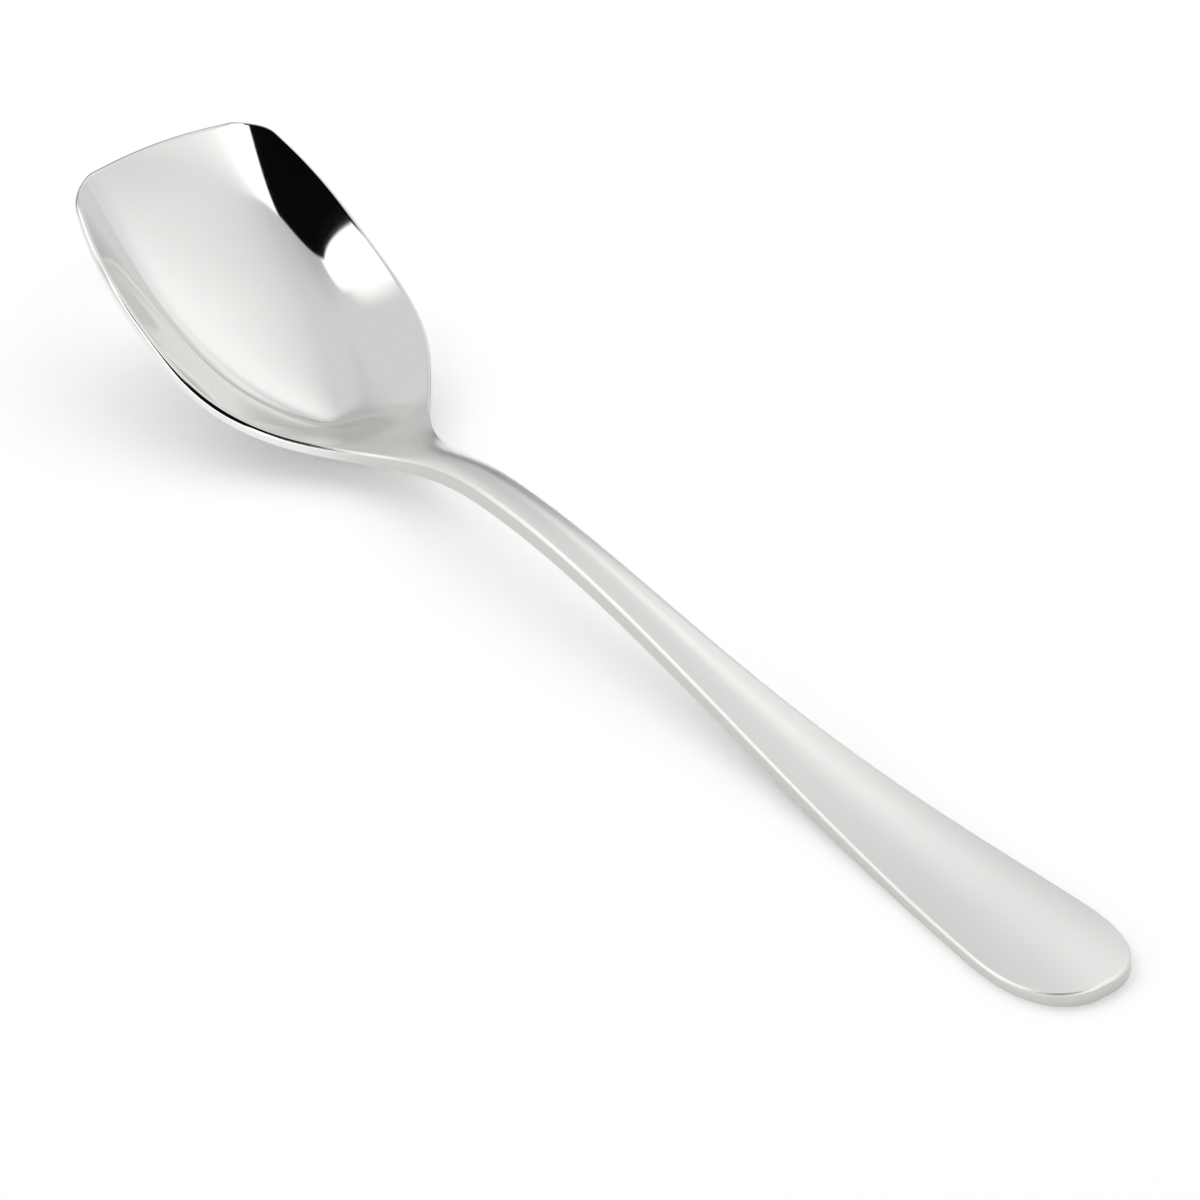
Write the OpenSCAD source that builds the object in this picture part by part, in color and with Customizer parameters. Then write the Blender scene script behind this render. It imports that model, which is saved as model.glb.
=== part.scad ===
/*
Ice cream spoon with a square dished bowl, a narrow arched neck and a flared handle,
forged and ground from one stainless blank.
Millimetres. +X runs from the bowl to the handle's end, +Z is up and the spoon lies on Z = 0.
The origin is on the table, under the middle of the spoon's length.
Places along the spoon are measured from the crest of the front edge.
*/

/* [Overall] */
// Length from the front lip to the end of the handle
overall_len = 156; // [146:1:170]

/* [Bowl outline] */
// Width between the rim's crests at the widest place
bowl_w = 29.5; // [26:0.5:33]
// Place of the widest section
widest_at = 17; // [15:0.5:20]
// Width at the front edge, before its corners are rounded
front_w = 23.4; // [21:0.1:26]
// Radius of the two front corners
corner_r = 2.8; // [2:0.1:4]
// How far the middle of the front edge stands ahead of its corners
front_bow = 0.9; // [0:0.1:2]
// Power of the curve from the front corner to the widest section
shoulder_round = 2.3; // [2.1:0.1:3]

/* [Bowl dish] */
// Depth of the dish's floor below the rim at its deepest section
dish_depth = 4.3; // [3.4:0.05:4.9]
// Place of the deepest section
deep_at = 26; // [23:0.5:28]
// Depth that is left in the middle of the front edge
front_sag = 0.8; // [0.4:0.1:1.4]
// Power of the floor's curve from the front edge to the deepest section
dish_round = 3; // [2.2:0.1:3.4]
// Share of the depth by which the floor curves up towards its sides
floor_curve = 0.12; // [0:0.02:0.3]
// Rise over run of the side walls
side_slope = 0.8; // [0.65:0.05:1]
// Rise over run of the wall round the heel
heel_slope = 0.5; // [0.4:0.05:0.6]
// Place where the walls start to flatten towards the heel
flatten_from = 12; // [8:0.5:16]
// Place where the walls have the heel's slope
flatten_to = 34; // [30:0.5:38]
// Radius that rounds the middle of the heel
heel_r = 3; // [2:0.25:5]
// How far the crease between the floor and the walls is filled
crease_fill = 0.5; // [0.3:0.05:0.8]
// Place where the dish starts to run out
run_from = 34; // [32:0.5:36]
// Place where the dish has run out into the crowned stem
dish_end = 56; // [54:0.5:62]
// Power of the curve at the start of the change from bowl to handle
start_round = 2.4; // [2.2:0.1:3]
// Power of the curve at the end of the change from bowl to handle
stop_round = 3.2; // [2.6:0.1:4]

/* [Neck and handle outline] */
// Width of the stem between its crests
stem_w = 4; // [3.4:0.1:5]
// Place where the neck has narrowed to the stem
stem_at = 60.5; // [57:0.5:64]
// Power of the rounded heel of the bowl
heel_round = 2.45; // [2.2:0.05:3]
// Power of the hollow between the heel and the stem
neck_round = 2.7; // [2.4:0.05:3.2]
// Width that the handle flares to
handle_w = 14.4; // [12:0.2:17]
// Place where the flare starts
flare_from = 49.5; // [46:0.5:60]
// Power that holds the flare back towards the end
flare_bias = 1.76; // [1.4:0.02:2]
// Length of the rounded end of the handle
end_len = 11; // [8:0.5:14]
// Power of the rounded end, 2 for an ellipse
end_round = 2.4; // [2:0.05:3]

/* [Side profile] */
// Height of the rim's crest at the front edge
front_h = 21.2; // [18:0.2:24]
// Height at which the rim's curve would level out
low_h = 0.5; // [0.3:0.05:1]
// Place where the rim's curve would level out
low_at = 65; // [62:0.5:68]
// Place where the crest starts to climb to the arch
climb_from = 32.5; // [30:0.5:35]
// Place of the top of the climb
climb_to = 65.5; // [62:0.5:68]
// Height of the crest on the arch
arch_h = 7.75; // [6.5:0.05:9]
// Place where the crest starts to fall to the end
fall_from = 64.5; // [60:0.5:70]
// Power of the fall, under 1 for an early one
fall_bias = 0.74; // [0.7:0.02:1]
// Length of the handle's end that lies level
rest_len = 8.6; // [6:0.2:14]

/* [Sheet and edges] */
// Thickness at the rim's edge
rim_gauge = 0.95; // [0.8:0.05:1.2]
// Thickness that the dish's floor has beyond the rim's
floor_extra = 0.2; // [0:0.05:0.4]
// Thickness at the stem's edges
stem_gauge = 1.75; // [1.4:0.05:2.2]
// Place where the sheet starts to thicken
thicken_from = 25; // [22:0.5:28]
// Place of the thickest section
thickest_at = 63; // [58:0.5:68]
// Thickness at the edge of the handle's end
end_gauge = 1.1; // [0.9:0.05:1.5]
// How far the stem and the handle are crowned above their edges
crown = 0.45; // [0.2:0.05:0.6]
// How far the ground edge of the rim slopes out below its crest
rim_out = 0.6; // [0.4:0.05:0.8]
// Share of that slope that the rim's bevel takes
rim_bevel_share = 0.8; // [0.4:0.05:0.9]
// Drop of the rim's bevel
rim_bevel_drop = 0.35; // [0.2:0.05:0.5]
// How far the handle's sides stand out beyond their crests
side_out = 0.2; // [0.1:0.05:0.3]
// Drop of the bevel along the handle's sides
side_bevel_drop = 0.2; // [0.1:0.05:0.3]
// Place where the rim's edge starts to change to the handle's
edge_from = 26; // [23:0.5:28]
// Place where the edge has changed to the handle's
edge_to = 58; // [54:0.5:62]

/* [Finish] */
// Place where the polished bowl meets the satin neck
polish_end = 47; // [45:0.5:50]
// Place where the neck passes into the handle
neck_end = 76; // [72:0.5:84]

/* [Hidden] */

polished = [0.80, 0.80, 0.79];
satin = [0.68, 0.68, 0.66];

// Length between the crests at the front edge and at the handle's end
crest_len = overall_len - rim_out - side_out;
// Length over which the bow of the front edge dies away
bow_len = 16;
// Last angle of the rounded end, short of the tip itself
tip_angle = 85;
// Finest steps of the skin: across, round a corner, round the end, and along each piece
across_steps = 28;
corner_steps = 6;
end_steps = 8;
bowl_step = 1.5;
neck_step = 2;
handle_step = 3.2;

// Zones of an outline, which a station names before its angle or its place
in_corner = 0;
in_body = 1;
in_end = 2;

// Shares of the half width, from the near edge to the far edge
across = [for (j = [0 : across_steps]) 2 * j / across_steps - 1];
// Number of points in one closed section: a top row, an under row and two bevel points
loop = 2 * len(across) + 2;

// Share of the way from a to b, held between 0 and 1
function way(x, a, b) = min(max((x - a) / (b - a), 0), 1);

// Smooth step that starts and ends level and uncurved
function ease(t) = t * t * t * (10 + t * (6 * t - 15));

// Smooth step that starts and ends level
function soft(t) = t * t * (3 - 2 * t);

// Smooth step with its own roundness at each end
function swing(t, start, stop) = pow(t, start) / (pow(t, start) + pow(1 - t, stop));

// Value between a and b
function mix(a, b, t) = a + (b - a) * t;

// Half the width between the crests
function half_w(x) =
    let (shoulder = pow(1 - way(x, 0, widest_at), shoulder_round))
    let (heel = swing(way(x, widest_at, stem_at), heel_round, neck_round))
    let (flare = pow(way(x, flare_from, crest_len), flare_bias))
    let (narrowing = (bowl_w - front_w) * shoulder + (bowl_w - stem_w) * heel)
    (bowl_w - narrowing + (handle_w - stem_w) * soft(flare)) / 2;

// Height of the crest, the line where the top meets the edge
function crest_h(x) =
    let (scoop = (front_h - low_h) * pow(1 - way(x, 0, low_at), 2))
    let (climb = (arch_h - low_h) * ease(way(x, climb_from, climb_to)))
    let (fall = ease(pow(way(x, fall_from, crest_len - rest_len), fall_bias)))
    low_h + scoop + climb - (arch_h - end_gauge) * fall;

// Change of the top from the dish, 0, to the crown, 1
function top_change(x) = swing(way(x, run_from, dish_end), start_round, stop_round);

// Change of the edges from the rim's, 0, to the handle's, 1
function edge_change(x) = swing(way(x, edge_from, edge_to), start_round, stop_round);

// Thickness at the edges
function gauge(x) =
    let (swell = (stem_gauge - rim_gauge) * ease(way(x, thicken_from, thickest_at)))
    let (taper = (stem_gauge - end_gauge) * ease(way(x, thickest_at, crest_len)))
    rim_gauge + swell - taper;

// Step from the crest out to the widest line of the edge
function edge_out(x) = mix(rim_out, side_out, edge_change(x));

// Depth of the floor's middle below the crests
function dish(x) =
    dish_depth - (dish_depth - front_sag) * pow(1 - way(x, 0, deep_at), dish_round);

// Rise over run of the walls
function wall_slope(x) = mix(side_slope, heel_slope, soft(way(x, flatten_from, flatten_to)));

// Height above the floor in the crease, where the bare wall would stand at t
function filled(t) = t / 2 + norm([t / 2, crease_fill]);

// Height of the dish: a floor and the walls that hang from the crests, with the crease filled
function dished_z(x, y) =
    let (depth = dish(x), half = half_w(x), rise = depth * (1 - floor_curve))
    let (floor_z = crest_h(x) - depth * (1 - floor_curve * pow(y / half, 2)))
    let (hang = wall_slope(x) * (norm([half, heel_r]) - norm([y, heel_r])))
    floor_z + filled(crest_h(x) - hang - floor_z) * rise / filled(rise);

// Height of the crowned stem and handle
function crowned_z(x, y) = crest_h(x) + crown * (1 - pow(y / half_w(x), 2));

// Height of the top
function top_z(x, y) = mix(dished_z(x, y), crowned_z(x, y), top_change(x));

// Height of the underside, which is flat across the handle
function under_z(x, y) =
    let (share = y / (half_w(x) + edge_out(x)))
    let (extra = mix(floor_extra, crown, top_change(x)))
    top_z(x, share * half_w(x)) - gauge(x) - extra * (1 - share * share);

// Place of a station's edge, grown from the crest by a share of the step out
function edge_x(station, grow) =
    let (zone = station[0], place = station[1])
    let (round_share = pow(sin(place) / sin(tip_angle), 2 / end_round))
    zone == in_corner ? corner_r - (corner_r + grow * rim_out) * cos(place)
    : zone == in_body ? place
    : crest_len - end_len + (end_len + grow * side_out) * round_share;

// Half width at a station's edge, grown likewise
function edge_y(station, grow) =
    let (zone = station[0], place = station[1], x = edge_x(station, grow))
    zone == in_corner ? half_w(x) - corner_r + (corner_r + grow * rim_out) * sin(place)
    : zone == in_body ? half_w(x) + grow * edge_out(x)
    : (half_w(x) + grow * side_out) * pow(cos(place), 2 / end_round);

// Point in plan at a share of a station's half width, with the front edge bowed
function plan_point(station, grow, share) =
    let (x = edge_x(station, grow), y = edge_y(station, grow) * share)
    let (set_back = front_bow * pow(y / half_w(0), 2) * pow(1 - way(x, 0, bow_len), 2))
    [x + set_back, y];

// Points on the top, on the bevel's lower line and on the underside
function top_point(station, share) =
    let (p = plan_point(station, 0, share))
    [p.x, p.y, top_z(p.x, p.y)];

function bevel_point(station, share) =
    let (change_here = edge_change(edge_x(station, 0)))
    let (p = plan_point(station, mix(rim_bevel_share, 1, change_here), share))
    let (drop = mix(rim_bevel_drop, side_bevel_drop, change_here))
    [p.x, p.y, top_point(station, share).z - drop];

function under_point(station, share) =
    let (p = plan_point(station, 1, share))
    [p.x, p.y, under_z(p.x, p.y)];

// Closed section: over the top to the far side, then back along the underside
function section(station) = concat(
    [for (share = across) top_point(station, share)],
    [bevel_point(station, 1)],
    [for (share = across) under_point(station, -share)],
    [bevel_point(station, -1)]
);

// Two triangles between a section and the next one
function skin_faces(i, k) =
    let (a = i * loop + k, b = i * loop + (k + 1) % loop)
    [[a, b, b + loop], [a, b + loop, a + loop]];

// Numbers of a section's points by their place across
function top_number(i, j) = i * loop + j;
function under_number(i, j) = (i + 1) * loop - 2 - j;
function lip_number(i, j, first) =
    j == 0 ? (i + 1) * loop - 1
    : j == across_steps ? i * loop + across_steps + 1
    : first + j - 1;

// Triangles that close a free end over its bevelled lip, seen from the handle's end
function lip_faces(i, first) = [
    for (j = [0 : across_steps - 1])
        let (top = [top_number(i, j), top_number(i, j + 1)])
        let (lip = [lip_number(i, j, first), lip_number(i, j + 1, first)])
        let (under = [under_number(i, j), under_number(i, j + 1)])
        each [
            [top[0], top[1], lip[1]],
            [top[0], lip[1], lip[0]],
            [lip[0], lip[1], under[1]],
            [lip[0], under[1], under[0]]
        ]
];

// Face the other way
function turned(faces) = [for (face = faces) [for (k = [len(face) - 1 : -1 : 0]) face[k]]];

// Even places from a to b, at most one step apart
function places(a, b, step) =
    let (count = ceil((b - a) / step))
    [for (i = [0 : count]) [in_body, mix(a, b, i / count)]];

// Stations of the three pieces, which share a section where they meet
bowl_stations = concat(
    [for (i = [0 : corner_steps - 1]) [in_corner, 90 * i / corner_steps]],
    places(corner_r, polish_end, bowl_step)
);
neck_stations = places(polish_end, neck_end, neck_step);
handle_stations = concat(
    places(neck_end, crest_len - end_len, handle_step),
    [for (i = [1 : end_steps]) [in_end, tip_angle * i / end_steps]]
);

// Lowest point of the underside, which lies on the table
lowest = min([for (s = concat(bowl_stations, handle_stations)) under_z(edge_x(s, 0), 0)]);

// Solid through a row of stations, with a bevelled lip at each free end
module forged(stations, free_front, free_end) {
    last = len(stations) - 1;
    inner = [for (j = [1 : across_steps - 1]) across[j]];
    front_first = len(stations) * loop;
    end_first = front_first + len(inner);
    points = concat(
        [for (s = stations) each section(s)],
        [for (share = inner) bevel_point(stations[0], share)],
        [for (share = inner) bevel_point(stations[last], share)]
    );
    skin = [for (i = [0 : last - 1], k = [0 : loop - 1]) each skin_faces(i, k)];
    front_cut = [[for (k = [0 : loop - 1]) k]];
    end_cut = [[for (k = [0 : loop - 1]) last * loop + k]];
    front = turned(free_front ? lip_faces(0, front_first) : front_cut);
    end = free_end ? lip_faces(last, end_first) : end_cut;
    translate([(rim_out - side_out - crest_len) / 2, 0, -lowest])
        polyhedron(points, concat(skin, front, end), convexity = 6);
}

// Square dished bowl with its ground rim
module bowl() {
    color(polished)
        forged(bowl_stations, true, false);
}

// Hollow-sided neck and the thick arched stem
module neck() {
    color(satin)
        forged(neck_stations, false, false);
}

// Flared and crowned handle with its round end
module handle() {
    color(satin)
        forged(handle_stations, false, true);
}

bowl();
neck();
handle();
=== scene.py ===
"""Ice cream spoon with a square dished bowl, a narrow arched neck and a flared handle.

The spoon is one forged and ground blank, shown as three skins that meet without a seam.
A node tree lofts each skin from the same section laws as the CAD solids, in metres.
"""
import math
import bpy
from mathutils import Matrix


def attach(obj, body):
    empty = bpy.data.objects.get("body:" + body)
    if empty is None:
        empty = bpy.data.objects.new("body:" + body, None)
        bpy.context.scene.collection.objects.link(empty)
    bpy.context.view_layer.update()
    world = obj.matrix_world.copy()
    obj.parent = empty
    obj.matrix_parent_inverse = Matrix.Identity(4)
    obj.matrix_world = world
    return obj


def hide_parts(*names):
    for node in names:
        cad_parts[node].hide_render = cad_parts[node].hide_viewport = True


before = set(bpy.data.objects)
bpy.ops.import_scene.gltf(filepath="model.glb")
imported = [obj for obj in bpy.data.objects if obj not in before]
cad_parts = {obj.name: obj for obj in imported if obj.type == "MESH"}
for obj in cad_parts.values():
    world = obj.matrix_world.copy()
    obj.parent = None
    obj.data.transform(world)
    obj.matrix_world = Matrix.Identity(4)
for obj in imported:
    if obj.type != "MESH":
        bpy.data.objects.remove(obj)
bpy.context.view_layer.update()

from types import SimpleNamespace

import bpy
import bmesh
from bpy.props import FloatProperty, FloatVectorProperty, IntProperty, PointerProperty
from mathutils import Vector

bl_info = {
    "name": "Ice cream spoon",
    "version": (1, 0, 0),
    "blender": (4, 5, 0),
    "location": "View3D > Sidebar > Spoon",
    "description": "Lofts a forged steel ice cream spoon and sets it on a pale table",
    "category": "Add Mesh",
}

MM = 0.001


# Properties

def length(label, text, mm):
    return FloatProperty(name=label, description=text, default=mm * MM, min=0.0,
                         unit="LENGTH", subtype="DISTANCE", precision=6)


def power(label, text, value):
    return FloatProperty(name=label, description=text, default=value, min=0.0, max=6.0)


def share(label, text, value):
    return FloatProperty(name=label, description=text, default=value, min=0.0, max=1.0,
                         subtype="FACTOR")


def tint(label, text, value):
    return FloatVectorProperty(name=label, description=text, default=value, size=3,
                               min=0.0, max=1.0, subtype="COLOR")


class SpoonSizes(bpy.types.PropertyGroup):
    """Sizes of the forged blank, with places measured from the crest of the front edge"""
    crest_len: length("Crest length", "Length between the crests at the front and the end", 155.2)
    bowl_w: length("Bowl width", "Width between the rim's crests at the widest place", 29.5)
    widest_at: length("Widest at", "Place of the widest section", 17)
    front_w: length("Front width", "Width at the front edge before its corners are rounded", 23.4)
    corner_r: length("Corner radius", "Radius of the two front corners", 2.8)
    front_bow: length("Front bow", "How far the front edge's middle stands ahead of its ends", 0.9)
    bow_len: length("Bow length", "Length over which the bow of the front edge dies away", 16)
    shoulder_round: power("Shoulder", "Power of the curve from the corner to the widest place", 2.3)
    dish_depth: length("Dish depth", "Depth of the dish's floor at its deepest section", 4.3)
    deep_at: length("Deepest at", "Place of the deepest section", 26)
    front_sag: length("Front sag", "Depth that is left in the middle of the front edge", 0.8)
    dish_round: power("Dish", "Power of the floor's curve to the deepest section", 3)
    floor_curve: share("Floor curve", "Share of the depth that the floor curves up sideways", 0.12)
    side_slope: share("Side slope", "Rise over run of the side walls", 0.8)
    heel_slope: share("Heel slope", "Rise over run of the wall round the heel", 0.5)
    flatten_from: length("Flatten from", "Place where the walls start to flatten", 12)
    flatten_to: length("Flatten to", "Place where the walls have the heel's slope", 34)
    heel_r: length("Heel radius", "Radius that rounds the middle of the heel", 3)
    heel_at: length("Heel at", "Place where the dish's heel wall leaves the floor", 34.7)
    heel_h: length("Heel height", "Height of the floor at that place", 1.35)
    heel_rise: share("Heel rise", "Rise over run of the heel wall", 0.287)
    heel_sweep: length("Heel sweep", "Radius of the heel wall's foot in plan", 8)
    heel_fill: length("Heel fill", "How far the crease at the heel wall is filled", 0.45)
    heel_fade: length("Heel fade", "Place where the heel wall starts to die into the neck", 40)
    heel_end: length("Heel end", "Place where the heel wall has died into the neck", 47)
    crease_fill: length("Crease fill", "How far the crease between floor and walls is filled", 0.5)
    run_from: length("Run-out from", "Place where the dish starts to run out", 34)
    dish_end: length("Dish end", "Place where the dish has run out into the crowned stem", 56)
    start_round: power("Change start", "Power at the start of the change from bowl to handle", 2.4)
    stop_round: power("Change stop", "Power at the end of the change from bowl to handle", 3.2)
    stem_w: length("Stem width", "Width of the stem between its crests", 4)
    stem_at: length("Stem at", "Place where the neck has narrowed to the stem", 60.5)
    heel_round: power("Heel", "Power of the rounded heel of the bowl", 2.45)
    neck_round: power("Neck", "Power of the hollow between the heel and the stem", 2.7)
    handle_w: length("Handle width", "Width that the handle flares to", 14.4)
    flare_from: length("Flare from", "Place where the flare starts", 49.5)
    flare_bias: power("Flare", "Power that holds the flare back towards the end", 1.76)
    end_len: length("End length", "Length of the rounded end of the handle", 11)
    end_round: power("End", "Power of the rounded end, 2 for an ellipse", 2.4)
    front_h: length("Front height", "Height of the rim's crest at the front edge", 21.2)
    low_h: length("Low height", "Height at which the rim's curve would level out", 0.5)
    low_at: length("Low at", "Place where the rim's curve would level out", 65)
    climb_from: length("Climb from", "Place where the crest starts to climb to the arch", 32.5)
    climb_to: length("Climb to", "Place of the top of the climb", 65.5)
    arch_h: length("Arch height", "Height of the crest on the arch", 7.75)
    fall_from: length("Fall from", "Place where the crest starts to fall to the end", 64.5)
    fall_bias: power("Fall", "Power of the fall, under 1 for an early one", 0.74)
    rest_len: length("Rest length", "Length of the handle's end that lies level", 8.6)
    rim_gauge: length("Rim thickness", "Thickness at the rim's edge", 0.95)
    floor_extra: length("Floor extra", "Thickness that the dish's floor has beyond the rim's", 0.2)
    stem_gauge: length("Stem thickness", "Thickness at the stem's edges", 1.75)
    thicken_from: length("Thicken from", "Place where the sheet starts to thicken", 25)
    thickest_at: length("Thickest at", "Place of the thickest section", 63)
    end_gauge: length("End thickness", "Thickness at the edge of the handle's end", 1.1)
    crown: length("Crown", "How far the handle is crowned above its edges", 0.45)
    rim_out: length("Rim slope", "How far the ground edge of the rim slopes out", 0.6)
    rim_bevel_share: share("Rim bevel", "Share of that slope that the rim's bevel takes", 0.8)
    rim_bevel_drop: length("Rim bevel drop", "Drop of the rim's bevel", 0.35)
    side_out: length("Side step", "How far the handle's sides stand out beyond their crests", 0.2)
    side_bevel_drop: length("Side bevel drop", "Drop of the bevel along the handle's sides", 0.2)
    edge_from: length("Edge from", "Place where the rim's edge starts to change", 26)
    edge_to: length("Edge to", "Place where the edge has changed to the handle's", 58)
    land_drop: length("Land drop", "Drop of the rim's land to its bevel", 0.02)
    lift: length("Lift", "Lift that sets the lowest point on the table", 0.0107)


class SpoonFinish(bpy.types.PropertyGroup):
    """Steel colours and how far each finish reaches"""
    polished: tint("Polished steel", "Colour of the polished bowl", (0.82, 0.818, 0.81))
    satin: tint("Satin steel", "Colour of the brushed neck and handle", (0.95, 0.945, 0.935))
    # Ground steel is painted shade: a darker colour on the sideways faces that stands in for the
    # dim table they mirror; their ground finish itself is in ground_rough
    ground: tint("Ground steel", "Colour of the ground sides of the neck and handle",
                 (0.68, 0.675, 0.665))
    # Front lip is painted shade: a dark colour on the front edge's lip that stands in for the dark
    # reflection the polished edge shows
    front_lip_shade: tint("Front lip", "Colour of the ground lip of the front edge", (0.5, 0.495, 0.49))
    polish_rough: share("Polish roughness", "Roughness of the polished bowl", 0.05)
    satin_rough: share("Satin roughness", "Roughness of the satin handle", 0.24)
    ground_rough: share("Ground roughness", "What ground sides and bevels add to the satin", 0.3)
    polish_end: length("Polish end", "Place where the bowl meets the neck", 47)
    neck_end: length("Neck end", "Place where the neck passes into the handle", 76)
    columns: IntProperty(name="Columns", description="Points across a skin", default=97,
                         min=9, max=201)


class SpoonStudio(bpy.types.PropertyGroup):
    """Camera and light"""
    turn: FloatProperty(name="Turn", description="Camera's turn round the spoon",
                        default=math.radians(52.361), subtype="ANGLE")
    height: FloatProperty(name="Height", description="Camera's angle above the table",
                          default=math.radians(34.527), subtype="ANGLE")
    distance: length("Distance", "Camera's distance from its aim", 530.377)
    lens: FloatProperty(name="Lens", description="Focal length on a 36 mm sensor",
                        default=156.79, unit="CAMERA")
    aim: FloatVectorProperty(name="Aim", description="Point that the camera looks at", size=3,
                             default=(1.559 * MM, 0.0, 2.724 * MM), subtype="TRANSLATION")
    table: tint("Table", "Colour of the table", (0.9, 0.9, 0.9))


# Node arithmetic

class Field:
    """Output in a node tree, with plain arithmetic on numbers that adds math nodes"""

    def __init__(self, tree, socket):
        self.tree = tree
        self.socket = socket

    def made(self, operation, *values):
        node = self.tree.nodes.new("ShaderNodeMath")
        node.operation = operation
        for place, value in zip(node.inputs, values):
            feed(self.tree, place, value)
        return Field(self.tree, node.outputs[0])

    def __add__(self, other):
        return self.made("ADD", self, other)

    def __radd__(self, other):
        return self.made("ADD", other, self)

    def __sub__(self, other):
        return self.made("SUBTRACT", self, other)

    def __rsub__(self, other):
        return self.made("SUBTRACT", other, self)

    def __mul__(self, other):
        return self.made("MULTIPLY", self, other)

    def __rmul__(self, other):
        return self.made("MULTIPLY", other, self)

    def __truediv__(self, other):
        return self.made("DIVIDE", self, other)

    def __rtruediv__(self, other):
        return self.made("DIVIDE", other, self)

    def __pow__(self, other):
        return self.made("POWER", self, other)

    def __abs__(self):
        return self.made("ABSOLUTE", self)

    def sin(self):
        return self.made("SINE", self)

    def cos(self):
        return self.made("COSINE", self)

    def at_least(self, other):
        return self.made("MAXIMUM", self, other)

    def at_most(self, other):
        return self.made("MINIMUM", self, other)


def feed(tree, place, value):
    """Link a field, or set a constant, on a node's input"""
    if isinstance(value, Field):
        tree.links.new(value.socket, place)
    else:
        place.default_value = value


def step(x, a, b, kind="LINEAR"):
    """Share of the way from a to b, held between 0 and 1"""
    node = x.tree.nodes.new("ShaderNodeMapRange")
    node.interpolation_type = kind
    node.clamp = True
    for name, value in (("Value", x), ("From Min", a), ("From Max", b)):
        feed(x.tree, node.inputs[name], value)
    return Field(x.tree, node.outputs["Result"])


def way(x, a, b):
    return step(x, a, b)


def ease(x, a, b):
    """Share of the way that starts and ends level and uncurved"""
    return step(x, a, b, "SMOOTHERSTEP")


def soft(x, a, b):
    """Share of the way that starts and ends level"""
    return step(x, a, b, "SMOOTHSTEP")


def swing(t, start, stop):
    """Smooth step with its own roundness at each end"""
    rise = t ** start
    return rise / (rise + (1.0 - t) ** stop)


def mix(a, b, t):
    return a + (b - a) * t


# Section laws of the blank

def laws(s, x):
    """Sizes of the section at place x"""
    shoulder = (1.0 - way(x, 0.0, s.widest_at)) ** s.shoulder_round
    heel = swing(way(x, s.widest_at, s.stem_at), s.heel_round, s.neck_round)
    flare = soft(way(x, s.flare_from, s.crest_len) ** s.flare_bias, 0.0, 1.0)
    narrowing = (s.bowl_w - s.front_w) * shoulder + (s.bowl_w - s.stem_w) * heel
    half = (s.bowl_w - narrowing + (s.handle_w - s.stem_w) * flare) * 0.5
    scoop = (s.front_h - s.low_h) * (1.0 - way(x, 0.0, s.low_at)) ** 2.0
    climb = (s.arch_h - s.low_h) * ease(x, s.climb_from, s.climb_to)
    fall = ease(way(x, s.fall_from, s.crest_len - s.rest_len) ** s.fall_bias, 0.0, 1.0)
    crest = s.low_h + scoop + climb - (s.arch_h - s.end_gauge) * fall
    shallow = (1.0 - way(x, 0.0, s.deep_at)) ** s.dish_round
    dish = s.dish_depth - (s.dish_depth - s.front_sag) * shallow
    swell = (s.stem_gauge - s.rim_gauge) * ease(x, s.thicken_from, s.thickest_at)
    taper = (s.stem_gauge - s.end_gauge) * ease(x, s.thickest_at, s.crest_len)
    edge = swing(way(x, s.edge_from, s.edge_to), s.start_round, s.stop_round)
    return SimpleNamespace(
        x=x, half=half, crest=crest, dish=dish, edge=edge,
        top=swing(way(x, s.run_from, s.dish_end), s.start_round, s.stop_round),
        slope=mix(s.side_slope, s.heel_slope, soft(x, s.flatten_from, s.flatten_to)),
        gauge=s.rim_gauge + swell - taper,
        out=mix(s.rim_out, s.side_out, edge))


def rounded(a, b):
    """Length of the slanted side over two square ones"""
    return (a * a + b * b) ** 0.5


def filled(t, fill):
    """Height in a filled crease above one of its sides, where the other side would stand at t"""
    return t * 0.5 + rounded(t * 0.5, fill)


def dish_height(s, here, v):
    """Height of the dish at a share of the half width: a floor between two walls"""
    y = here.half * v
    rise = here.dish * (1.0 - s.floor_curve)
    floor = here.crest - here.dish * (1.0 - s.floor_curve * v * v)
    hang = here.slope * (rounded(here.half, s.heel_r) - rounded(y, s.heel_r))
    wall = filled(here.crest - hang - floor, s.crease_fill)
    return floor + wall * rise / filled(rise, s.crease_fill)


def crown_height(s, here, v):
    """Height of the crowned handle at a share of the half width"""
    return here.crest + s.crown * (1.0 - v * v)


def top_height(s, here, v):
    """Height of the top at a share of the half width: dished in the bowl, crowned on the handle"""
    dished = dish_height(s, here, v)
    y = here.half * v
    heel = s.heel_h + s.heel_rise * (here.x - s.heel_at + y * y / (s.heel_sweep * 2.0))
    held = (1.0 - soft(here.x, s.heel_fade, s.heel_end)) * (1.0 - v * v * (v * v))
    dished = dished + filled(heel - dished, s.heel_fill) * held
    return mix(dished, crown_height(s, here, v), here.top)


def under_height(s, here, v):
    """Height of the underside at a share of the half width"""
    facing = mix(dish_height(s, here, v), crown_height(s, here, v), here.top)
    extra = mix(s.floor_extra, s.crown, here.top)
    return facing - here.gauge - extra * (1.0 - v * v)


def plan_point(s, row, column, grow):
    """Place and offset of a point of the outline, grown from the crest by a share"""
    end_share = (row.end_angle.sin() / math.sin(TIP_ANGLE)) ** (2.0 / s.end_round)
    x = (row.place - (s.corner_r + grow * s.rim_out) * row.corner_angle.cos()
         + (s.end_len + grow * s.side_out) * end_share)
    here = laws(s, x)
    edge = here.half - s.corner_r + (s.corner_r + grow * here.out) * row.corner_angle.sin()
    y = edge * row.end_angle.cos() ** (2.0 / s.end_round) * column
    bow = (y / (s.front_w * 0.5)) ** 2.0 * (1.0 - way(x, 0.0, s.bow_len)) ** 2.0
    return x + s.front_bow * bow, y


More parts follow.
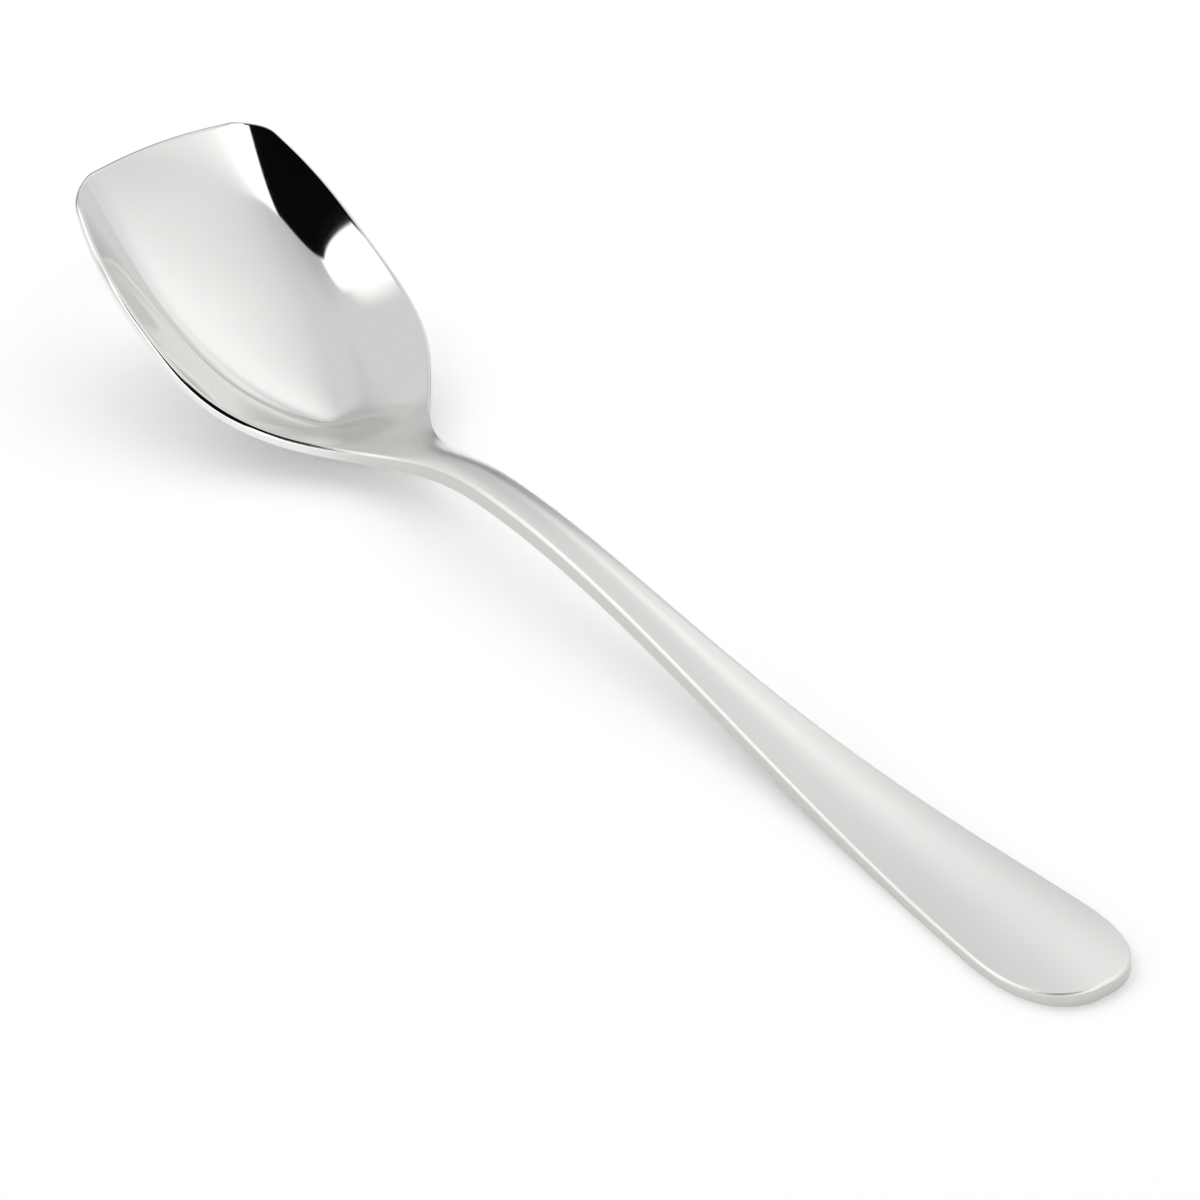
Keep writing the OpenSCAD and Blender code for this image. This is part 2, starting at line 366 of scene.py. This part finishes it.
def top_point(s, row, column, grow):
    """Point of the top, grown from the crest by a share"""
    x, y = plan_point(s, row, column, grow)
    here = laws(s, x)
    return x, y, top_height(s, here, y / here.half)


def edge_point(s, row, column, crest, rim, side):
    """Point near the edge, from its growth and drop on the rim and on the handle's sides"""
    edge = laws(s, crest[0]).edge
    x, y = plan_point(s, row, column, mix(rim[0], side[0], edge))
    return x, y, crest[2] - mix(rim[1], side[1], edge)


def edge_top(s, row, column, crest, rim, side):
    """Point of the top near the edge, from its growth on the rim and on the handle's sides"""
    return top_point(s, row, column, mix(rim, side, laws(s, crest[0]).edge))


def under_point(s, row, column):
    """Point of the underside"""
    x, y = plan_point(s, row, column, 1.0)
    here = laws(s, x)
    return x, y, under_height(s, here, y / (here.half + here.out))


# Skin tree

# Angle at which the last row closes the round end
TIP_ANGLE = math.radians(85)
QUARTER = math.pi / 2
# Growth from the crest to the inner line and to the corner of the top, on the rim and on the handle
INNER = (-0.35, -1.6)
CORNER = (0.0, -0.9)
# Growth from the crest to the land's edge, on the rim and on the handle
LAND = (0.33, -0.35)
# Shares of the inner line, the corner, the land's edge, the bevel line and the under edge in each
# ring of the edge
RINGS = (
    (0.444, 0.5, 0.056, 0.0, 0.0),
    (0.111, 0.667, 0.222, 0.0, 0.0),
    (0.0, 0.5, 0.5, 0.0, 0.0),
    (0.0, 0.222, 0.745, 0.033, 0.0),
    (0.0, 0.056, 0.811, 0.133, 0.0),
    (0.0, 0.0, 0.7, 0.3, 0.0),
    (0.0, 0.0, 0.25, 0.75, 0.0),
    (0.0, 0.0, 0.111, 0.867, 0.022),
    (0.0, 0.0, 0.028, 0.883, 0.089),
    (0.0, 0.0, 0.0, 0.8, 0.2),
    (0.0, 0.0, 0.0, 0.0, 1.0))
# Margin that keeps a zone of no rows from dividing by nothing
NEVER = 1e-6
LAST_COLUMN = 1e-4
MERGE = 1e-6
SHARP = math.radians(32)


def added(tree, kind, **values):
    """New node with its settings"""
    node = tree.nodes.new(kind)
    for name, value in values.items():
        setattr(node, name, value)
    return node


def flow(tree, kind, geometry, settings=None, **inputs):
    """New node on the main line: takes geometry in, gives geometry out"""
    node = added(tree, kind, **(settings or {}))
    tree.links.new(geometry, node.inputs[0])
    for name, value in inputs.items():
        place = node.inputs[name.replace("_", " ")]
        if isinstance(value, bpy.types.NodeSocket):
            tree.links.new(value, place)
        else:
            feed(tree, place, value)
    return node


def named(tree, name):
    """Stored number of a point"""
    node = added(tree, "GeometryNodeInputNamedAttribute", data_type="FLOAT")
    node.inputs["Name"].default_value = name
    return Field(tree, node.outputs["Attribute"])


def place_of(tree, s, point):
    """Position in the shared frame, for a point measured from the front crest"""
    node = added(tree, "ShaderNodeCombineXYZ")
    feed(tree, node.inputs[0], point[0] - (s.crest_len - s.rim_out + s.side_out) * 0.5)
    feed(tree, node.inputs[1], point[1])
    feed(tree, node.inputs[2], point[2] + s.lift)
    return node.outputs[0]


def blended(tree, parts):
    """Sum of positions by their shares"""
    total = None
    for weight, position in parts:
        if weight == 0.0:
            continue
        scale = added(tree, "ShaderNodeVectorMath", operation="SCALE")
        tree.links.new(position, scale.inputs[0])
        scale.inputs["Scale"].default_value = weight
        if total is None:
            total = scale.outputs[0]
            continue
        both = added(tree, "ShaderNodeVectorMath", operation="ADD")
        tree.links.new(total, both.inputs[0])
        tree.links.new(scale.outputs[0], both.inputs[1])
        total = both.outputs[0]
    return total


def between(tree, a, b, t):
    """Position at a share of the way from a to b"""
    node = added(tree, "ShaderNodeMix", data_type="VECTOR")
    feed(tree, node.inputs[0], t)
    tree.links.new(a, node.inputs[4])
    tree.links.new(b, node.inputs[5])
    return node.outputs[1]


def skin_tree(size_names):
    """Tree that lofts one closed length of the spoon from its named sizes"""
    tree = bpy.data.node_groups.new("spoon_skin", "GeometryNodeTree")
    tree.interface.new_socket("Geometry", in_out="OUTPUT", socket_type="NodeSocketGeometry")
    for name in size_names + ("from", "to", "front_rows", "end_rows"):
        tree.interface.new_socket(name, in_out="INPUT", socket_type="NodeSocketFloat")
    for name in ("rows", "columns"):
        tree.interface.new_socket(name, in_out="INPUT", socket_type="NodeSocketInt")
    tree.interface.new_socket("steel", in_out="INPUT", socket_type="NodeSocketMaterial")
    given = added(tree, "NodeGroupInput").outputs
    s = SimpleNamespace(**{name: Field(tree, given[name]) for name in size_names})

    grid = added(tree, "GeometryNodeMeshGrid")
    grid.inputs["Size X"].default_value = 1.0
    grid.inputs["Size Y"].default_value = 2.0
    tree.links.new(given["rows"], grid.inputs["Vertices X"])
    tree.links.new(given["columns"], grid.inputs["Vertices Y"])
    spot = added(tree, "ShaderNodeSeparateXYZ")
    tree.links.new(added(tree, "GeometryNodeInputPosition").outputs[0], spot.inputs[0])
    down = Field(tree, spot.outputs[0]) + 0.5
    side = (Field(tree, spot.outputs[1]) * QUARTER).sin()
    store = {"data_type": "FLOAT", "domain": "POINT"}
    sheet = flow(tree, "GeometryNodeStoreNamedAttribute", grid.outputs["Mesh"], store,
                 Name="down", Value=down)
    sheet = flow(tree, "GeometryNodeStoreNamedAttribute", sheet.outputs[0], store,
                 Name="side", Value=side)

    t = named(tree, "down")
    column = named(tree, "side")
    front_rows = Field(tree, given["front_rows"])
    body_stop = 1.0 - Field(tree, given["end_rows"])
    row = SimpleNamespace(
        place=mix(Field(tree, given["from"]), Field(tree, given["to"]),
                  way(t, front_rows, body_stop)),
        corner_angle=way(t, -NEVER, front_rows) * QUARTER,
        end_angle=way(t, body_stop, 1.0 + NEVER) * TIP_ANGLE)
    crest = top_point(s, row, column, 0.0)
    lines = [place_of(tree, s, point) for point in (
        edge_top(s, row, column, crest, *INNER),
        edge_top(s, row, column, crest, *CORNER),
        edge_point(s, row, column, crest, (LAND[0], s.land_drop), (LAND[1], 0.0)),
        edge_point(s, row, column, crest, (s.rim_bevel_share, s.rim_bevel_drop),
                   (1.0, s.side_bevel_drop)),
        under_point(s, row, column))]

    # At a cut end the lines of the edge stay on the top, so that the cut is plain
    kept = way(abs(column), 1.0 - LAST_COLUMN, 1.0)
    kept = kept.at_least(1.0 - row.corner_angle / QUARTER).at_least(row.end_angle / TIP_ANGLE)
    lines[1:4] = [between(tree, lines[0], line, kept) for line in lines[1:4]]
    top = flow(tree, "GeometryNodeSetPosition", sheet.outputs[0], Position=lines[0])
    free = added(tree, "FunctionNodeCompare", data_type="INT", operation="EQUAL")
    tree.links.new(added(tree, "GeometryNodeInputMeshEdgeNeighbors").outputs[0], free.inputs[2])
    free.inputs[3].default_value = 1
    for number, ring in enumerate(RINGS):
        grown = flow(tree, "GeometryNodeExtrudeMesh", top.outputs[0], {"mode": "EDGES"},
                     Selection=free.outputs[0], Offset_Scale=0.0)
        top = flow(tree, "GeometryNodeSetPosition", grown.outputs["Mesh"],
                   Selection=grown.outputs["Top"], Position=blended(tree, zip(ring, lines)))
        # Rings past the first are marked as rim, which the steel uses for the painted shade on the
        # front lip
        top = flow(tree, "GeometryNodeStoreNamedAttribute", top.outputs[0], store,
                   Selection=grown.outputs["Top"], Name="rim", Value=1.0 if number else 0.0)
    under = flow(tree, "GeometryNodeSetPosition", sheet.outputs[0], Position=lines[4])
    under = flow(tree, "GeometryNodeFlipFaces", under.outputs[0])
    whole = added(tree, "GeometryNodeJoinGeometry")
    tree.links.new(top.outputs[0], whole.inputs[0])
    tree.links.new(under.outputs[0], whole.inputs[0])
    whole = flow(tree, "GeometryNodeMergeByDistance", whole.outputs[0], Distance=MERGE)
    whole = flow(tree, "GeometryNodeSetShadeSmooth", whole.outputs[0], {"domain": "FACE"},
                 Shade_Smooth=True)
    angle = Field(tree, added(tree, "GeometryNodeInputMeshEdgeAngle").outputs[0])
    whole = flow(tree, "GeometryNodeSetShadeSmooth", whole.outputs[0], {"domain": "EDGE"},
                 Selection=angle.made("GREATER_THAN", angle, SHARP), Shade_Smooth=False)
    for name in ("down", "side"):
        whole = flow(tree, "GeometryNodeRemoveAttribute", whole.outputs[0], Name=name)
    whole = flow(tree, "GeometryNodeRealizeInstances", whole.outputs[0])
    whole = flow(tree, "GeometryNodeSetMaterial", whole.outputs[0], Material=given["steel"])
    tree.links.new(whole.outputs[0], added(tree, "NodeGroupOutput").inputs[0])
    return tree


def skin(context, name, steel, **ends):
    """Plain closed mesh of one length of the spoon"""
    sizes = context.scene.spoon_sizes
    finish = context.scene.spoon_finish
    size_names = tuple(SpoonSizes.__annotations__)
    tree = bpy.data.node_groups.get("spoon_skin") or skin_tree(size_names)
    values = {size: getattr(sizes, size) for size in size_names}
    values.update(columns=finish.columns, steel=steel, front_rows=0.0, end_rows=0.0)
    values.update(ends)
    piece = bpy.data.objects.new(name, bpy.data.meshes.new(name + "_seed"))
    context.scene.collection.objects.link(piece)
    loft = piece.modifiers.new("loft", "NODES")
    loft.node_group = tree
    for item in tree.interface.items_tree:
        if item.in_out == "INPUT":
            loft[item.identifier] = values[item.name]
    seen = piece.evaluated_get(context.evaluated_depsgraph_get())
    mesh = bpy.data.meshes.new_from_object(seen)
    piece.modifiers.remove(loft)
    piece.data = mesh
    mesh.name = name
    if not mesh.polygons:
        raise RuntimeError(name + " has no faces")
    shell = bmesh.new()
    shell.from_mesh(mesh)
    open_edges = sum(not edge.is_manifold for edge in shell.edges)
    volume = shell.calc_volume(signed=True)
    shell.free()
    if open_edges or volume <= 0.0:
        raise RuntimeError(f"{name}: {open_edges} open edges, volume {volume}")
    return piece


# Steel

def node_material(name):
    """Material with a metal shader, and its tree"""
    material = bpy.data.materials.new(name)
    material.use_nodes = True
    tree = material.node_tree
    tree.nodes.clear()
    shader = added(tree, "ShaderNodeBsdfPrincipled")
    tree.links.new(shader.outputs[0], added(tree, "ShaderNodeOutputMaterial").inputs[0])
    shader.inputs["Metallic"].default_value = 1.0
    return material, tree, shader


# Noise scales along, across and through the spoon, per metre
HAIRLINES = (60.0, 5200.0, 5200.0)
CLOUDS = (90.0, 160.0, 160.0)
SPECKS = (2400.0, 2400.0, 2400.0)
FINE_DETAIL = 3.0
PLAIN_DETAIL = 2.0
NOISE_ROUGH = 0.55
NOISE_MEAN = 0.5
# How far each noise moves the roughness and the tone
SPECK_ROUGH = 0.02
CLOUD_ROUGH = (0.02, 0.06)
HAIRLINE_ROUGH = 0.12
HAIRLINE_TONE = 0.5
# Relief of the hairlines, and its strength on the polish and on the satin
RELIEF = 0.004 * MM
RELIEF_STRENGTH = (0.06, 0.8)
# Uprightness of the normal between which a face counts as a side, which gets painted shade, and as
# a bevel
SHADED_SIDE_LEVEL = (0.25, 0.6)
BEVEL_LEVEL = (0.6, 0.95)
# Distances from the front edge over which the satin sets in and the painted shade on the front lip
# dies away
SATIN_ZONE = (34 * MM, 45 * MM)
LIP_SHADE_ZONE = (2 * MM, 5 * MM)


def grain(tree, scale, detail):
    """Noise about zero on object coordinates, stretched by its scale along each axis"""
    where = added(tree, "ShaderNodeTexCoord")
    stretch = added(tree, "ShaderNodeMapping")
    stretch.inputs["Scale"].default_value = scale
    tree.links.new(where.outputs["Object"], stretch.inputs["Vector"])
    noise = added(tree, "ShaderNodeTexNoise")
    noise.inputs["Scale"].default_value = 1.0
    noise.inputs["Detail"].default_value = detail
    noise.inputs["Roughness"].default_value = NOISE_ROUGH
    tree.links.new(stretch.outputs[0], noise.inputs["Vector"])
    return Field(tree, noise.outputs[0]) - NOISE_MEAN


def from_front(tree, sizes):
    """Distance of a point from the crest of the front edge, along the spoon"""
    where = added(tree, "ShaderNodeTexCoord")
    split = added(tree, "ShaderNodeSeparateXYZ")
    tree.links.new(where.outputs["Object"], split.inputs[0])
    return Field(tree, split.outputs[0]) + (sizes.crest_len - sizes.rim_out + sizes.side_out) / 2


def painted(tree, below, colour, amount):
    """Field of a colour laid over another by an amount"""
    node = added(tree, "ShaderNodeMix", data_type="RGBA", blend_type="MIX")
    feed(tree, node.inputs[0], amount)
    feed(tree, node.inputs[6], below)
    feed(tree, node.inputs[7], (*colour, 1.0))
    return Field(tree, node.outputs[2])


def steel(context, name):
    """Stainless steel that passes from mirror polish into lengthwise satin, with painted shade on
    the sideways faces and on the front lip
    """
    finish = context.scene.spoon_finish
    material, tree, shader = node_material(name)
    place = from_front(tree, context.scene.spoon_sizes)
    brushed = soft(place, *SATIN_ZONE)
    hairlines = grain(tree, HAIRLINES, FINE_DETAIL)
    clouds = grain(tree, CLOUDS, PLAIN_DETAIL)
    specks = grain(tree, SPECKS, PLAIN_DETAIL)
    upright = added(tree, "ShaderNodeSeparateXYZ")
    tree.links.new(added(tree, "ShaderNodeNewGeometry").outputs["Normal"], upright.inputs[0])
    level = abs(Field(tree, upright.outputs[2]))
    rim = Field(tree, added(tree, "ShaderNodeAttribute", attribute_name="rim").outputs["Fac"])

    polish_rough = finish.polish_rough + specks * SPECK_ROUGH + clouds * CLOUD_ROUGH[0]
    satin_rough = finish.satin_rough + hairlines * HAIRLINE_ROUGH + clouds * CLOUD_ROUGH[1]
    satin_rough = satin_rough + (1.0 - soft(level, *BEVEL_LEVEL)) * finish.ground_rough
    feed(tree, shader.inputs["Roughness"], mix(polish_rough, satin_rough, brushed))

    base = (*finish.polished, 1.0)
    satin = (brushed + hairlines * HAIRLINE_TONE).at_least(0.0).at_most(1.0)
    # Mask of the painted shade on the sideways faces of the satin neck and handle
    sides = brushed * (1.0 - soft(level, *SHADED_SIDE_LEVEL))
    # Painted shade on the lip of the front edge: the rim rings near the front get a dark colour in
    # place of a dark reflection
    lip = rim * (1.0 - soft(place, *LIP_SHADE_ZONE))
    # Over the satin go the painted shade on the sides and the painted shade on the front lip
    for colour, amount in ((finish.satin, satin), (finish.ground, sides), (finish.front_lip_shade, lip)):
        base = painted(tree, base, colour, amount)
    feed(tree, shader.inputs["Base Color"], base)

    relief = added(tree, "ShaderNodeBump")
    relief.inputs["Distance"].default_value = RELIEF
    feed(tree, relief.inputs["Strength"], mix(*RELIEF_STRENGTH, brushed))
    feed(tree, relief.inputs["Height"], hairlines)
    tree.links.new(relief.outputs[0], shader.inputs["Normal"])
    return material


# Operators

# Rows of points along each skin, and the shares of them on the front corners and on the round end
BOWL_ROWS = 201
NECK_ROWS = 101
HANDLE_ROWS = 201
FRONT_ROWS = 0.15
END_ROWS = 0.25


class SpoonBowl(bpy.types.Operator):
    """Loft the polished square bowl with its ground rim"""
    bl_idname = "spoon.bowl"
    bl_label = "Bowl"

    def execute(self, context):
        sizes = context.scene.spoon_sizes
        ends = {"from": sizes.corner_r, "to": context.scene.spoon_finish.polish_end}
        piece = skin(context, "bowl_skin", steel(context, "mirror_polish"), rows=BOWL_ROWS,
                     front_rows=FRONT_ROWS, **ends)
        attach(piece, "root")
        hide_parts("bowl")
        return {"FINISHED"}


class SpoonNeck(bpy.types.Operator):
    """Loft the hollow-sided neck and the arched stem"""
    bl_idname = "spoon.neck"
    bl_label = "Neck"

    def execute(self, context):
        finish = context.scene.spoon_finish
        ends = {"from": finish.polish_end, "to": finish.neck_end}
        piece = skin(context, "neck_skin", steel(context, "satin_brushing"), rows=NECK_ROWS,
                     **ends)
        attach(piece, "root")
        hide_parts("neck")
        return {"FINISHED"}


class SpoonHandle(bpy.types.Operator):
    """Loft the flared and crowned handle with its round end"""
    bl_idname = "spoon.handle"
    bl_label = "Handle"

    def execute(self, context):
        sizes = context.scene.spoon_sizes
        satin = bpy.data.materials.get("satin_brushing") or steel(context, "satin_brushing")
        ends = {"from": context.scene.spoon_finish.neck_end,
                "to": sizes.crest_len - sizes.end_len}
        piece = skin(context, "handle_skin", satin, rows=HANDLE_ROWS, end_rows=END_ROWS, **ends)
        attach(piece, "root")
        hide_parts("handle")
        return {"FINISHED"}


# Studio

def patch(across, back, centre, reach, inner, outer, turn=0.0):
    """Soft round patch on the dome overhead: 1 in its middle, 0 past its edge"""
    x, y = across - centre[0], back - centre[1]
    along = (x * math.cos(turn) + y * math.sin(turn)) / reach[0]
    aside = (y * math.cos(turn) - x * math.sin(turn)) / reach[1]
    return 1.0 - soft(rounded(along, aside), inner, outer)


# Soft patches of the room: centre, reach, inner edge, turn and how far each brightens the room
ROOM_TONE = 0.751
ROOM_PATCHES = (
    ((-0.07, 0.322), (0.415, 0.108), 0.23, -0.14, 0.36),
    ((-0.167, 0.485), (0.466, 0.095), 0.2, -0.26, 0.245),
    ((-0.6, 0.337), (0.19, 0.39), 0.58, 0.84, -0.19),
    ((-0.66, 0.588), (0.22, 0.27), 0.4, 0.0, -0.11),
    ((-0.5, 0.53), (0.16, 0.13), 0.3, 0.0, -0.36),
    ((-0.295, 0.05), (0.2, 0.073), 0.3, 0.0, -0.05),
    ((0.098, -0.094), (0.2, 0.39), 0.2, -0.06, -0.24))
PATCH_END = 1.1
# The room dims by this much towards the horizon, from this height of the ray
HORIZON_TOP = 0.32
HORIZON_DIM = 0.4
# White panels: centre, reach, inner edge, outer edge and turn
PANEL_TONE = 1.35
LOW_PANEL = ((-0.11, -0.322), (0.168, 0.18), 0.6, 1.0, 1.16)
LOW_CORNER = ((-0.03, -0.27), (0.11, 0.16), 0.75, 1.0)
SIDE_PANEL = ((-0.33, -0.36), (0.13, 0.24), 0.7, 1.0)
# Line that the strip and the dark opening lie to the right of: across, back and its offset
RIGHT_LINE = (0.891, 0.454, 0.134)
RIGHT_EDGE = 0.008
# Far border of the strip: offset, slant, soft edge and where it ends across
STRIP_LINE = (0.133, 0.398)
STRIP_EDGE = (-0.03, 0.012)
STRIP_END = (0.4, 0.6)
# Dark openings: centre, reach, inner edge, outer edge and turn, and the first one's end across
LENS = ((0.132, -0.2), (0.159, 0.338), 0.97, 1.03)
LENS_END = (-0.022, -0.016)
WINDOW = ((0.05, -0.48), (0.19, 0.17), 0.93, 1.0, 0.2)
OPENING_DARK = 0.998
# Count of glossy bounces under which a ray is in its first reflection
FIRST_BOUNCE = 1.5
# Lowest height of a ray that is laid out flat on the dome
DOME_LOW = -0.5
LIGHT_TINT = (1.0, 0.995, 0.985, 1.0)


def studio_light(world):
    """Pale studio with soft white panels and dark openings on the camera's side"""
    world.use_nodes = True
    tree = world.node_tree
    tree.nodes.clear()
    split = added(tree, "ShaderNodeSeparateXYZ")
    tree.links.new(added(tree, "ShaderNodeTexCoord").outputs["Generated"], split.inputs[0])
    dx, dy, dz = (Field(tree, socket) for socket in split.outputs)
    dome = 1.0 + dz.at_least(DOME_LOW)
    across, back = dx / dome, dy / dome

    glow = ROOM_TONE
    for centre, reach, inner, turn, amount in ROOM_PATCHES:
        glow = glow + patch(across, back, centre, reach, inner, PATCH_END, turn) * amount
    glow = glow - (1.0 - soft(dz, 0.0, HORIZON_TOP)) * HORIZON_DIM
    slant = across * RIGHT_LINE[0] - (back + RIGHT_LINE[2]) * RIGHT_LINE[1]
    right = soft(slant, -RIGHT_EDGE, RIGHT_EDGE)
    strip = right * soft(STRIP_LINE[0] + across * STRIP_LINE[1] - back, *STRIP_EDGE)
    strip = strip * (1.0 - soft(across, *STRIP_END))
    depth = Field(tree, added(tree, "ShaderNodeLightPath").outputs["Glossy Depth"])
    first = depth.made("LESS_THAN", depth, FIRST_BOUNCE)
    low_panel = patch(across, back, *LOW_PANEL)
    low_panel = low_panel.at_least(patch(across, back, *LOW_CORNER) * first)
    side_panel = patch(across, back, *SIDE_PANEL)
    glow = mix(glow, PANEL_TONE, strip.at_least(low_panel).at_least(side_panel))
    opening = patch(across, back, *LENS) * right * soft(across, *LENS_END)
    opening = opening.at_least(patch(across, back, *WINDOW))
    glow = glow * (1.0 - opening * first * OPENING_DARK)

    light = added(tree, "ShaderNodeBackground")
    feed(tree, light.inputs["Strength"], glow)
    plain = added(tree, "ShaderNodeBackground")
    plain.inputs["Strength"].default_value = 1.0
    for shader in (light, plain):
        shader.inputs["Color"].default_value = LIGHT_TINT
    pick = added(tree, "ShaderNodeMixShader")
    tree.links.new(added(tree, "ShaderNodeLightPath").outputs["Is Camera Ray"], pick.inputs[0])
    tree.links.new(light.outputs[0], pick.inputs[1])
    tree.links.new(plain.outputs[0], pick.inputs[2])
    tree.links.new(pick.outputs[0], added(tree, "ShaderNodeOutputWorld").inputs[0])


# Glow that lifts the table to white where it is seen
TABLE_GLOW = 0.1
TABLE_REACH = 3.0


def table_finish(colour):
    """Pale table that shows white to the camera and in the steel, and keeps the shadow"""
    material = bpy.data.materials.new("pale_table")
    material.use_nodes = True
    tree = material.node_tree
    tree.nodes.clear()
    diffuse = added(tree, "ShaderNodeBsdfDiffuse")
    diffuse.inputs["Color"].default_value = (*colour, 1.0)
    lift = added(tree, "ShaderNodeEmission")
    path = added(tree, "ShaderNodeLightPath")
    seen = Field(tree, path.outputs["Is Camera Ray"])
    for kind in ("Is Glossy Ray", "Is Transmission Ray"):
        seen = seen.at_least(Field(tree, path.outputs[kind]))
    feed(tree, lift.inputs["Strength"], seen * TABLE_GLOW)
    both = added(tree, "ShaderNodeAddShader")
    tree.links.new(diffuse.outputs[0], both.inputs[0])
    tree.links.new(lift.outputs[0], both.inputs[1])
    tree.links.new(both.outputs[0], added(tree, "ShaderNodeOutputMaterial").inputs[0])
    return material


# Soft lamps: name, place in metres and watts
LAMPS = (("front_box", (-0.6, 0.0, 0.8), 2.6), ("back_box", (-0.2, 0.7, 0.6), 1.7))
LAMP_SIZE = 1.0
SENSOR = 36.0
NEAR_CLIP = 0.01


class SpoonStage(bpy.types.Operator):
    """Set the camera, the soft light and the pale table"""
    bl_idname = "spoon.stage"
    bl_label = "Stage"

    def execute(self, context):
        scene = context.scene
        studio = scene.spoon_studio
        scene.view_settings.view_transform = "Standard"
        mesh = bpy.data.meshes.new("table")
        corners = ((-1, -1), (1, -1), (1, 1), (-1, 1))
        mesh.from_pydata([(x * TABLE_REACH, y * TABLE_REACH, 0.0) for x, y in corners], [],
                         [(0, 1, 2, 3)])
        table = bpy.data.objects.new("table", mesh)
        table.data.materials.append(table_finish(studio.table))
        scene.collection.objects.link(table)

        scene.world = bpy.data.worlds.new("studio")
        studio_light(scene.world)
        for name, spot, watts in LAMPS:
            lamp = bpy.data.lights.new(name, "AREA")
            lamp.shape = "DISK"
            lamp.size = LAMP_SIZE
            lamp.energy = watts
            softbox = bpy.data.objects.new(name, lamp)
            softbox.location = spot
            softbox.rotation_euler = (-Vector(spot)).to_track_quat("-Z", "Y").to_euler()
            softbox.visible_glossy = False
            scene.collection.objects.link(softbox)

        lens = bpy.data.cameras.new("camera")
        lens.lens = studio.lens
        lens.sensor_width = SENSOR
        lens.sensor_fit = "HORIZONTAL"
        lens.clip_start = NEAR_CLIP
        camera = bpy.data.objects.new("camera", lens)
        back = Vector((math.sin(studio.turn) * math.cos(studio.height),
                       -math.cos(studio.turn) * math.cos(studio.height),
                       math.sin(studio.height)))
        camera.location = Vector(studio.aim) + back * studio.distance
        camera.rotation_euler = back.to_track_quat("Z", "Y").to_euler()
        scene.collection.objects.link(camera)
        scene.camera = camera
        return {"FINISHED"}


class SpoonPanel(bpy.types.Panel):
    """Sizes, finishes and makers of the spoon"""
    bl_idname = "VIEW3D_PT_spoon"
    bl_label = "Ice cream spoon"
    bl_space_type = "VIEW_3D"
    bl_region_type = "UI"
    bl_category = "Spoon"

    def draw(self, context):
        for maker in MAKERS:
            self.layout.operator(maker.bl_idname)
        for group in GROUPS:
            held = getattr(context.scene, group)
            box = self.layout.box()
            for name in held.__annotations__:
                box.prop(held, name)


MAKERS = (SpoonBowl, SpoonNeck, SpoonHandle, SpoonStage)
GROUPS = {"spoon_sizes": SpoonSizes, "spoon_finish": SpoonFinish, "spoon_studio": SpoonStudio}


def register():
    for group in (*GROUPS.values(), *MAKERS, SpoonPanel):
        bpy.utils.register_class(group)
    for name, group in GROUPS.items():
        setattr(bpy.types.Scene, name, PointerProperty(type=group))


def unregister():
    for name in GROUPS:
        delattr(bpy.types.Scene, name)
    for group in reversed((*GROUPS.values(), *MAKERS, SpoonPanel)):
        bpy.utils.unregister_class(group)


def main():
    register()
    bpy.ops.spoon.bowl()
    bpy.ops.spoon.neck()
    bpy.ops.spoon.handle()
    bpy.ops.spoon.stage()


if __name__ == "__main__":
    main()
